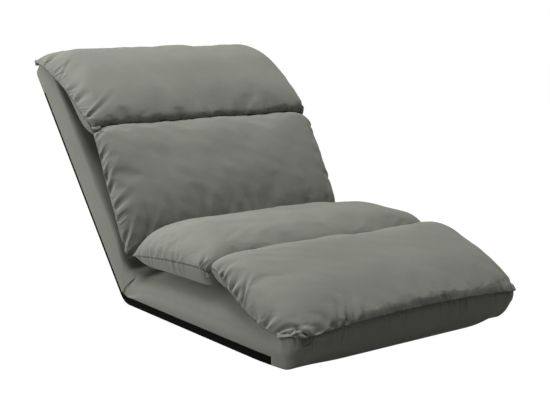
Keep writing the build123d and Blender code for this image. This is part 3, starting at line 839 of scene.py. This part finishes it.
def rolled_cloth(start, end, radius, turns, first, taper):
    """A small roll of cloth from start to end, as a grid: a spiral carried along a line.

    Its radius opens from the inner share to the full one over the turns, falls off by the taper along the
    line and ripples, and the roll is pressed flatter off the pad.
    """
    start, end = np.array(start), np.array(end)
    way = (end - start) / np.linalg.norm(end - start)
    aside = np.cross(way, ROLL_ASIDE)
    aside /= np.linalg.norm(aside)
    above = ROLL_FLAT * np.cross(way, aside)
    share = np.linspace(0, 1, ROLL_ROWS)[:, None]
    angle = np.linspace(0, 2 * pi * turns, ROLL_COLUMNS)[None, :]
    height, waves, twist = ROLL_RIPPLE
    size = radius * (ROLL_INNER + (1 - ROLL_INNER) * angle / angle.max()) * (1 - taper * share)
    size = size * (1 + height * np.sin(waves * angle + twist * share))
    out, up = size * np.cos(angle + first), size * np.sin(angle + first)
    circle = out[..., None] * aside + up[..., None] * above
    return start + (end - start) * share[..., None] + circle


def make_rolls(cushion):
    """The rolled tucks at the ends of a cushion's seams, each on its own sides, as one piece."""
    name, *rolls = ROLLS[cushion]
    pad = CUSHIONS[cushion]["pad"]
    grids = [rolled_cloth(*row) * (side, 1, 1) for sides, *row in rolls for side in sides]
    count = ROLL_ROWS * ROLL_COLUMNS
    faces = [sheet_faces(ROLL_ROWS, ROLL_COLUMNS, count * i) for i in range(len(grids))]
    points = np.concatenate([on_pad(grid, pad).reshape(-1, 3) for grid in grids])
    whole = np.ones(len(points))
    # Every point of a roll counts as near a seam: the suede gives it painted gather shade and no painted seam
    # line.
    fields = {"seam": whole, "pull": whole * ROLL_PULL, "way": points.sum(1)}
    piece = mesh_object(name, points, np.concatenate(faces), fields)
    thicken(piece, ROLL_CLOTH, 0)
    dress(piece, "suede")
    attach(piece, pad)


# ---- the pads' case

CLOTH = 0.0015
# The pads' wedge by the hinge: its slope, how far it misses the axis, and how softly it meets the flat top.
WEDGE = radians(22.5)
WEDGE_APEX = 0.027
TOP_BLEND = 0.006
# The grey cloth goes this far under the far ends. The sides bow by this much. The ends are superellipses.
WRAP = 0.090
SIDE_BOW = 0.003
END_POWER = 2.3
# The foam's room inside the case, and the number of cuts across it near the hinge.
FOAM_EASE = 0.006
FOAM_CUTS = 19

# The square zone of a front corner that is drawn in, how deep for the left and the right one, and the power
# of its growth downwards.
TOE_ZONE = 0.160
TOE_ROUND = (0.30, 0.82)
TOE_POWER = 1.3

# nose: how far the pad reaches. top: where its upper end starts to fall. toe: where its lower end starts
# to rise. middle: the height where the two meet. corner: the radius in plan. rim: the black cloth's turn-up.
# low and soft: the lower and the upper edges' radius. sink: how far the top falls before the upper edge.
PADS = {
    "seat": {
        "nose": 0.687, "top": 0.640, "toe": 0.627, "middle": 0.078, "corner": 0.052,
        "rim": 0.021, "low": 0.004, "soft": 0.052, "sink": 0.012,
    },
    "back": {
        "nose": 0.720, "top": 0.644, "toe": 0.692, "middle": 0.031, "corner": 0.035,
        "rim": 0.011, "low": 0.004, "soft": 0.014, "sink": 0.036,
    },
}

# Where the top starts to sink, in from the side, and over how much width; and how much wider than high the
# upper edge is.
SINK_FROM = 0.130
SINK_RUN = 0.095
EDGE_WIDER = 0.012
# The most of a pad's height that each edge may take, where the pad is thin.
MOST = {"soft": 0.42, "inset": 0.6, "sink": 0.2, "low": 0.2, "rim": 0.4}
# Near the hinge the upper edge is this wide, and this much of the height deeper.
HINGE_REACH = 0.06
HINGE_INSET = 0.026
HINGE_SOFT = 0.3

# The border's seam: its height at the sides, its rise, half its span and its power; and along the seat,
# where it starts and where it is whole.
SEAM_LOW = 0.074
SEAM_RISE = 0.019
SEAM_HALF = 0.345
SEAM_POWER = 0.8
BORDER = (0.600, 0.630)

# Points on the flat, the upper edge, the side and the lower edge of half a loop; stations on a pad and steps
# of the fan at the bend.
LOOP_FLAT = 44
LOOP_EDGE = 9
LOOP_SIDE = 14
LOOP_LOW = 4
STATIONS = 84
STATION_CROWD = 0.45
FAN_STEPS = 9


def rounded(share):
    """A superellipse's height, 1 at share 0 and 0 at share 1."""
    return (1 - share**END_POWER) ** (1 / END_POWER)


def nose_at(x):
    """Where the seat's nose is at x: straight across, with a quarter circle at each corner in plan."""
    size = PADS["seat"]
    turn = np.clip((np.abs(x) - HALF_WIDTH + size["corner"]) / size["corner"], 0, 1)
    return size["nose"] - size["corner"] * (1 - np.sqrt(1 - turn**2))


def seam_height(x):
    """Height of the front border's seam: a shallow arch."""
    return SEAM_LOW + SEAM_RISE * (1 - np.clip(x / SEAM_HALF, -1, 1) ** 2) ** SEAM_POWER


def draw_in_toes(points, pad):
    """Round the seat's two front corners in plan, more the lower they are, as a stuffed corner is.

    In a square zone at the corner a point moves towards the zone's inner corner, by the zone's side over
    the distance to the outline along its ray, which would make the outline a quarter circle. It moves by a
    power of how far it is below the widest level. The left corner keeps a fuller toe than the right.
    """
    if pad != "seat":
        return points
    size = PADS["seat"]
    x, along, off = np.moveaxis(points, -1, 0)
    aside = np.maximum(np.abs(x) - HALF_WIDTH + TOE_ZONE, 0)
    ahead = np.maximum(along - size["nose"] + TOE_ZONE, 0)
    reach = np.maximum(np.hypot(aside, ahead), TINY)
    inner = TOE_ZONE - size["corner"]
    sine = (aside + ahead) / reach
    bow = np.maximum(size["corner"] ** 2 - inner**2 * (2 - sine**2), 0)
    curved = inner * sine + np.sqrt(bow)
    straight = TOE_ZONE * reach / np.maximum(np.maximum(aside, ahead), TINY)
    outline = np.where(np.minimum(aside, ahead) * curved > inner * reach, curved, straight)
    deep = np.clip(1 - off / size["middle"], 0, 1) ** TOE_POWER * np.where(x > 0, TOE_ROUND[1], TOE_ROUND[0])
    share = (1 - np.minimum(TOE_ZONE / outline, 1)) * deep * (np.minimum(aside, ahead) > 0)
    return np.stack([x - np.sign(x) * aside * share, along - ahead * share, off], -1)


def pad_lines(pad, along):
    """A pad's upper line, lower line and half width at places along it.

    The upper line is the wedge by the hinge, a root of squares that misses the axis by the apex, held under
    the flat top by a soft minimum. The far end's edges are superellipses, and the plan's corners circles.
    """
    size = PADS[pad]
    nose, middle = size["nose"], size["middle"]
    wedge = AXIS_HEIGHT + np.sqrt((along * tan(WEDGE)) ** 2 + WEDGE_APEX**2)
    gap = wedge - PAD_THICKNESS
    top = PAD_THICKNESS + 0.5 * (gap - np.sqrt(gap * gap + TOP_BLEND**2))
    fall = np.clip((along - size["top"]) / (nose - size["top"]), 0, 1)
    top = middle + (top - middle) * rounded(fall)
    rise = np.clip((along - size["toe"]) / (nose - size["toe"]), 0, 1)
    low = middle * (1 - rounded(rise))
    turn = np.clip((along - nose + size["corner"]) / size["corner"], 0, 1)
    wide = HALF_WIDTH - size["corner"] * (1 - np.sqrt(1 - turn**2))
    return top, low, wide


def sunk(x, wide):
    """How far along its fall a pad's top is at x: 0 at the middle and 1 near the side."""
    return smooth_step((x - wide + SINK_FROM) / SINK_RUN)


def pad_loops(pad, along):
    """Closed loops round a pad's sections, in pad terms.

    A loop runs out along the top, which sinks by a smooth step, round the upper edge, down the side to the
    black cloth's rim and on, round the lower edge and back in. The side bows out by a parabola.
    """
    size = PADS[pad]
    top, low, wide = (line[:, None] for line in pad_lines(pad, along))
    height = top - low
    most = {key: share * height for key, share in MOST.items()}
    near = 1 - smooth_step(along[:, None] / HINGE_REACH)
    upper = np.minimum(size["soft"], most["soft"]) + near * height * HINGE_SOFT
    inset = np.minimum(size["soft"] + EDGE_WIDER, most["inset"]) * (1 - near) + HINGE_INSET * near
    sink = np.minimum(size["sink"], most["sink"]) * (1 - near)
    lower = np.minimum(size["low"], most["low"])
    rim = low + np.minimum(size["rim"], most["rim"])
    flat = np.linspace(0, 1, LOOP_FLAT)[None, :]
    down = np.linspace(0, 1, LOOP_SIDE)[None, :]
    a = np.linspace(0, pi / 2, LOOP_EDGE + 2)[None, 1:-1]
    b = np.linspace(0, pi / 2, LOOP_LOW + 2)[None, 1:-1]
    bow = SIDE_BOW * 4 * down * (1 - down) * np.minimum(1, height / PAD_THICKNESS)
    x = [flat * (wide - inset), wide - inset * (1 - np.sin(a)), wide + bow]
    x += [wide + 0 * b[:, :1], wide - lower * (1 - np.cos(b)), (flat * (wide - lower))[:, ::-1]]
    slope = top - sink * sunk(x[0], wide)
    edge = slope[:, -1:] - upper
    z = [slope, edge + upper * np.cos(a), edge + (rim - edge) * down]
    z += [low + lower + 0 * b[:, :1], low + lower * (1 - np.sin(b)), low + 0 * flat]
    x = np.concatenate(x, 1)
    z = np.concatenate(z, 1)
    x = np.concatenate([x, -x[:, ::-1]], 1)
    z = np.concatenate([z, z[:, ::-1]], 1)
    return draw_in_toes(np.stack([x, np.broadcast_to(along[:, None], x.shape), z], -1), pad)


def case_skin():
    """The closed skin of both pads: stations from the seat's nose, a fan round the bend, the back.

    Gives the points in the frame, the points in pad terms and each station's pad.
    """
    stations = spread(STATIONS, STATION_CROWD)
    seat = pad_loops("seat", PADS["seat"]["nose"] * (1 - stations))
    back = pad_loops("back", PADS["back"]["nose"] * stations)
    turn = np.linspace(0, BACK_TILT, FAN_STEPS)[1:-1, None]
    lift = seat[-1, :, 2][None, :] - AXIS_HEIGHT
    x = np.broadcast_to(seat[-1, :, 0], (len(turn), seat.shape[1]))
    fan = np.stack([x, AXIS_BEHIND - lift * np.sin(turn), AXIS_HEIGHT + lift * np.cos(turn)], -1)
    bent = np.broadcast_to(seat[-1], fan.shape)
    pads = np.array(["seat"] * len(seat) + ["bend"] * len(fan) + ["back"] * len(back))
    terms = np.concatenate([seat, bent, back])
    return np.concatenate([on_pad(seat, "seat"), fan, on_pad(back, "back")]), terms, pads


def case_faces(skin, terms, pads):
    """The skin's quads, and which of them are the black underside cloth."""
    rows, columns = skin.shape[:2]
    corner = np.arange(rows * columns).reshape(rows, columns)
    after = np.roll(corner, -1, axis=1)
    quads = np.stack([corner[:-1], after[:-1], after[1:], corner[1:]], -1)
    rim = LOOP_FLAT + LOOP_EDGE + LOOP_SIDE - 1
    column = np.arange(columns)
    under = (column >= rim) & (column < columns - 1 - rim)
    nose = np.array([PADS.get(pad, PADS["back"])["nose"] for pad in pads])
    short = terms[:, 0, 1] <= nose - WRAP
    black = (short[:-1] & short[1:])[:, None] & under[None, :]
    return quads, black


# ---- settings


class ChairSizes(bpy.types.PropertyGroup):
    """Sizes of the soft pieces."""

    ease: FloatProperty(
        name="Ease", description="How much larger the cloth is than its stuffing", default=0.004, min=0
    )
    ease_at_seams: FloatProperty(
        name="Ease at the seams", description="The same near the sewn edges", default=0.03, min=0
    )
    filling: FloatProperty(
        name="Filling", description="Pressure of the filling on the cloth", default=0.5, min=0, max=10
    )
    swell: FloatProperty(
        name="Swell", description="The furthest that the cloth may move", default=0.006, unit="LENGTH"
    )
    lumps: FloatProperty(
        name="Lumps", description="Height of the filling's unevenness", default=0.0022, unit="LENGTH"
    )
    fold_depth: FloatProperty(
        name="Fold depth", description="Depth of the gathers, as a factor", default=1.0, min=0, max=3
    )


class ChairFinish(bpy.types.PropertyGroup):
    """Colours of the chair."""

    suede: FloatVectorProperty(
        name="Suede", description="Colour of the suede", subtype="COLOR", default=(0.262, 0.27, 0.235)
    )
    nap: FloatProperty(
        name="Nap", description="How far the brushed patches stray", default=0.07, subtype="FACTOR"
    )
    underside: FloatVectorProperty(
        name="Underside", description="Colour of the black cloth", subtype="COLOR", default=(0.003,) * 3
    )


# ---- operators


class CHAIR_OT_cushions(bpy.types.Operator):
    """Make the four loose-filled cushions, and the rolled tucks at the ends of two of their seams"""

    bl_idname = "chair.cushions"
    bl_label = "Cushions"

    def execute(self, context):
        for name in CUSHIONS:
            make_cushion(name)
            if name in ROLLS:
                make_rolls(name)
        return {"FINISHED"}


class CHAIR_OT_case(bpy.types.Operator):
    """Make the grey case of both pads and the black cloth under them"""

    bl_idname = "chair.case"
    bl_label = "Pad Case"

    def execute(self, context):
        skin, terms, pads = case_skin()
        quads, black = case_faces(skin, terms, pads)
        below = np.abs(seam_height(skin[..., 0]) - skin[..., 2])
        start, end = BORDER
        border = smooth_step((terms[..., 1] - start) / (end - start)) * (pads[:, None] == "seat")
        # These fields give the front border painted shade from the suede: a dark line along its seam and darkened
        # gather valleys near it.
        fields = {"seam": below + 1 - border, "pull": below + 1 - border, "way": skin[..., 0]}
        case = mesh_object("pad_case", skin, quads[~black], fields)
        under = mesh_object("underside_cloth", skin, quads[black], fields)
        gussets = "left_bend_gusset", "right_bend_gusset"
        dress(case, "suede", "seat_cover", "back_cover", "bend_top_cover", *gussets)
        dress(under, "black_cloth", "seat_bottom_cloth", "back_bottom_cloth", "bend_bottom_cloth")
        for piece in (case, under):
            thicken(piece, CLOTH, -1)
            bend(piece)
        return {"FINISHED"}


class CHAIR_OT_foam(bpy.types.Operator):
    """Give the foam slabs copies that are eased into the case and cut across near the hinge"""

    bl_idname = "chair.foam"
    bl_label = "Foam"

    def execute(self, context):
        for pad in ("seat", "back"):
            for part in ("lower", "upper"):
                make_foam(pad, f"{pad}_{part}_foam")
        return {"FINISHED"}


def tuck_in(points, pad):
    """Foam points in pad terms, pressed in where they would stand out of the case's rounded edges."""
    x, along, off = points.T
    top, low, wide = pad_lines(pad, np.clip(along, 0, PADS[pad]["nose"] - FOAM_EASE))
    off = np.clip(off, low + FOAM_EASE, top - FOAM_EASE)
    soft, sink = PADS[pad]["soft"], PADS[pad]["sink"]
    off = np.minimum(off, top - FOAM_EASE - sink * sunk(np.abs(x), wide))
    over = np.clip((off - top + sink + FOAM_EASE) / soft + 1, 0, 1)
    room = wide - FOAM_EASE - (soft + EDGE_WIDER) * (1 - np.sqrt(1 - over**2))
    along = np.minimum(along, PADS[pad]["nose"] - FOAM_EASE)
    return draw_in_toes(np.stack([np.clip(x, -room, room), along, off], -1), pad)


def make_foam(pad, node):
    """A copy of a foam slab, eased into the case and cut across near the bend."""
    mesh = frame["nodes"][node].data.copy()
    work = bmesh.new()
    work.from_mesh(mesh)
    bmesh.ops.remove_doubles(work, verts=work.verts, dist=DOUBLES / 10)
    for reach in np.linspace(-CASE_BEND, CASE_BEND, FOAM_CUTS):
        everything = work.verts[:] + work.edges[:] + work.faces[:]
        cut = {"plane_co": AXIS + BEND_WAY * reach, "plane_no": BEND_WAY, "dist": DOUBLES / 100}
        bmesh.ops.bisect_plane(work, geom=everything, **cut)
    points = np.array([vert.co for vert in work.verts])
    points = on_pad(tuck_in(off_pad(points, pad), pad), pad)
    for vert, point in zip(work.verts, points):
        vert.co = point
    work.to_mesh(mesh)
    work.free()
    piece = in_scene(f"{node}_slab", mesh)
    dress(piece, "foam", node)
    bend(piece)


SOFT_SLOTS = ("suede", "black_cloth", "foam")


class CHAIR_OT_hardware(bpy.types.Operator):
    """Finish the tubes, the webbing and the two ratchet hinges"""

    bl_idname = "chair.hardware"
    bl_label = "Frame and Hinges"

    def execute(self, context):
        for part in frame["record"]["subparts"]:
            if part["material_slot"] not in SOFT_SLOTS:
                for place in frame["nodes"][part["node"]].material_slots:
                    place.material = finish_for(part["material_slot"])
        return {"FINISHED"}


# ---- stage

# The camera that was fitted to the photograph.
IMAGE_WIDTH = 550
LENS_PIXELS = 1121.0
EYE = Vector((-1.6719, -2.0710, 0.7506))
LOOK_RIGHT = radians(36.8)
LOOK_DOWN = radians(10.4)
SENSOR = 36.0

FLOOR_SIDE = 60.0
FLOOR_DROP = 0.0005
FLOOR_GREY = 0.34
FLOOR_WHITE = 0.93
FLOOR_STRENGTH = 1.075
ROOM_STRENGTH = 0.05
WHITE = (1, 1, 1, 1)

# Name, place, aim, side and power of each square lamp.
LAMPS = (
    ("overhead", (-0.4, 0.3, 3.3), (0, 0.1, 0.2), 2.0, 97),
    ("left_behind", (-2.9, 2.1, 0.55), (0, 0.1, 0.25), 1.0, 58),
)


def make_lamp(name, place, aim, size, power):
    """A square area lamp."""
    data = bpy.data.lights.new(name, "AREA")
    data.size = size
    data.energy = power
    lamp = in_scene(name, data)
    lamp.location = place
    lamp.rotation_euler = (Vector(aim) - Vector(place)).to_track_quat("-Z", "Y").to_euler()


def white_to_camera(graph, shader, white, share=1.0):
    """What the camera and mirrors see is mostly the white; everything else sees the shader."""
    path = graph.tree.nodes.new("ShaderNodeLightPath")
    seen, glossy, through = (
        Link(graph, path.outputs[f"Is {kind} Ray"]) for kind in ("Camera", "Glossy", "Transmission")
    )
    seen = (seen + glossy + through).clamp() * share
    return graph.add("ShaderNodeMixShader", (seen, shader, white))


def make_floor():
    """A wide pale floor that the camera sees as white but for the shadows."""
    corners = np.array([(-1, -1), (1, -1), (1, 1), (-1, 1)]) * FLOOR_SIDE / 2
    points = np.concatenate([corners, np.full((4, 1), -FLOOR_DROP)], 1)
    floor = mesh_object("floor", points, np.array([[0, 1, 2, 3]]))
    f = Finish("pale_floor")
    paint = f.add("ShaderNodeBsdfDiffuse", {"Color": rgba((FLOOR_GREY,) * 3), "Roughness": 1.0})
    white = f.add("ShaderNodeEmission", {"Color": WHITE, "Strength": FLOOR_STRENGTH})
    f.end(white_to_camera(f, paint, white, FLOOR_WHITE))
    floor.data.materials.append(f.material)


def make_room(scene):
    """Surroundings that the camera sees as white and that give hardly any light."""
    scene.world = bpy.data.worlds.new("white_room")
    scene.world.use_nodes = True
    room = Graph(scene.world.node_tree)
    dim = room.add("ShaderNodeBackground", {"Strength": ROOM_STRENGTH})
    white = room.add("ShaderNodeBackground", {"Color": WHITE})
    room.end(white_to_camera(room, dim, white), "ShaderNodeOutputWorld")
    scene.view_settings.view_transform = "Standard"


def make_camera(scene):
    """The camera, turned to the right and down without any roll."""
    level = cos(LOOK_DOWN)
    forward = Vector((sin(LOOK_RIGHT) * level, cos(LOOK_RIGHT) * level, -sin(LOOK_DOWN)))
    right = Vector((cos(LOOK_RIGHT), -sin(LOOK_RIGHT), 0))
    above = right.cross(forward)
    data = bpy.data.cameras.new("camera")
    data.sensor_width = SENSOR
    data.lens = LENS_PIXELS * SENSOR / IMAGE_WIDTH
    scene.camera = in_scene("camera", data)
    turn = Matrix((right, above, -forward)).transposed().to_4x4()
    scene.camera.matrix_world = Matrix.Translation(EYE) @ turn


class CHAIR_OT_stage(bpy.types.Operator):
    """Set the floor, the soft lamps, the white surroundings and the camera"""

    bl_idname = "chair.stage"
    bl_label = "Stage"

    def execute(self, context):
        make_floor()
        for row in LAMPS:
            make_lamp(*row)
        make_room(context.scene)
        make_camera(context.scene)
        return {"FINISHED"}


OPERATORS = (
    CHAIR_OT_stage,
    CHAIR_OT_cushions,
    CHAIR_OT_case,
    CHAIR_OT_foam,
    CHAIR_OT_hardware,
)


class CHAIR_PT_panel(bpy.types.Panel):
    """The chair's settings and the steps that make it"""

    bl_idname = "CHAIR_PT_panel"
    bl_label = "Folding Floor Chair"
    bl_space_type = "VIEW_3D"
    bl_region_type = "UI"
    bl_category = "Floor Chair"

    def draw(self, context):
        column = self.layout.column()
        for group in (context.scene.chair_sizes, context.scene.chair_finish):
            for key in group.__annotations__:
                column.prop(group, key)
        for operator in OPERATORS:
            column.operator(operator.bl_idname)


CLASSES = (ChairSizes, ChairFinish, *OPERATORS, CHAIR_PT_panel)


def register():
    for kind in CLASSES:
        bpy.utils.register_class(kind)
    bpy.types.Scene.chair_sizes = PointerProperty(type=ChairSizes)
    bpy.types.Scene.chair_finish = PointerProperty(type=ChairFinish)


def unregister():
    del bpy.types.Scene.chair_sizes
    del bpy.types.Scene.chair_finish
    for kind in reversed(CLASSES):
        bpy.utils.unregister_class(kind)


def main():
    """Make the whole chair and its stage."""
    register()
    for operator in OPERATORS:
        group, name = operator.bl_idname.split(".")
        getattr(getattr(bpy.ops, group), name)()


if __name__ == "__main__":
    main()
